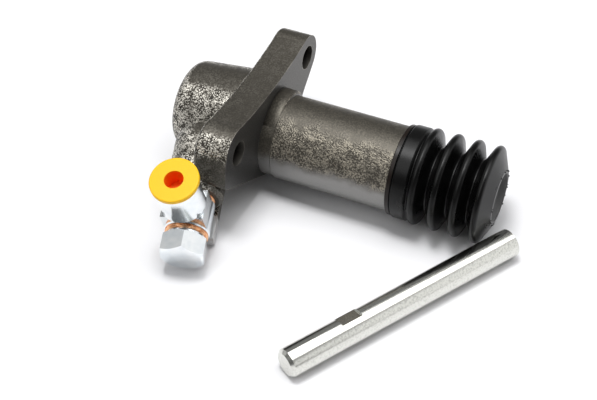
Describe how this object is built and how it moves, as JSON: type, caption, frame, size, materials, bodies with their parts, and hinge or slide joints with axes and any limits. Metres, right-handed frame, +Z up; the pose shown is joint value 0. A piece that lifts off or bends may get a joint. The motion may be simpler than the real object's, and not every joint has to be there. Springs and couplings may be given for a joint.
{
  "type": "clutch slave cylinder",
  "caption": "Hydraulic clutch slave cylinder with two-hole flange, angled banjo union, rubber bellows boot and loose push rod.",
  "frame": {"origin": "on the bore's centre line, at the front (mounting) face of the flange", "axes": "+X along the bore from the closed end to the boot, Y along the line of the two flange bolts, +Z up from the surface that the part lies on"},
  "size_m": [0.1248, 0.1215, 0.0389],
  "materials": {
    "cast_iron": "rough cast, with a smooth machined mounting face",
    "aluminium": "turned",
    "seal_rubber": "moulded, smooth",
    "boot_rubber": "moulded, satin black",
    "spring_steel": "drawn wire and stamped sheet",
    "polished_steel": "ground and polished",
    "zinc_steel": "bright zinc plating",
    "copper": "bright copper",
    "yellow_plastic": "moulded, satin yellow"
  },
  "bodies": {
    "cylinder": {"cylinder_body": "cast_iron", "stop_ring": "spring_steel", "boot": "boot_rubber", "push_rod": "polished_steel", "banjo_bolt": "zinc_steel", "outer_washer": "copper", "inner_washer": "copper", "banjo_union": "zinc_steel", "valve_spring": "spring_steel", "return_spring": "spring_steel"},
    "piston": {"piston": "aluminium", "piston_cup": "seal_rubber"},
    "plug": {"union_plug": "yellow_plastic"},
    "valve": {"valve_plate": "spring_steel"},
    "bleeder": {"bleed_screw": "zinc_steel", "bleed_cap": "boot_rubber"}
  },
  "joints": [
    {"name": "piston_slide", "type": "slide", "parent": "cylinder", "child": "piston", "axis": [1, 0, 0], "range_m": [-0.022, 0], "stiffness_N_per_m": 150, "springref_m": 0.03, "deforming": ["return_spring"]},
    {"name": "plug_pull", "type": "slide", "parent": "cylinder", "child": "plug", "axis": [-0.0008, -0.2963, 0.9551], "range_m": [0, 0.012]},
    {"name": "valve_lift", "type": "slide", "parent": "cylinder", "child": "valve", "axis": [-0.2625, 0.9217, 0.2857], "range_m": [0, 0.0015], "stiffness_N_per_m": 60, "springref_m": -0.004, "deforming": ["valve_spring"]},
    {"name": "bleed_turn", "type": "hinge", "parent": "cylinder", "child": "bleeder", "pos_m": [-0.0195, 0.02068, -0.00365], "axis": [0, 0.9848, -0.1736], "range_deg": [0, 270]}
  ]
}
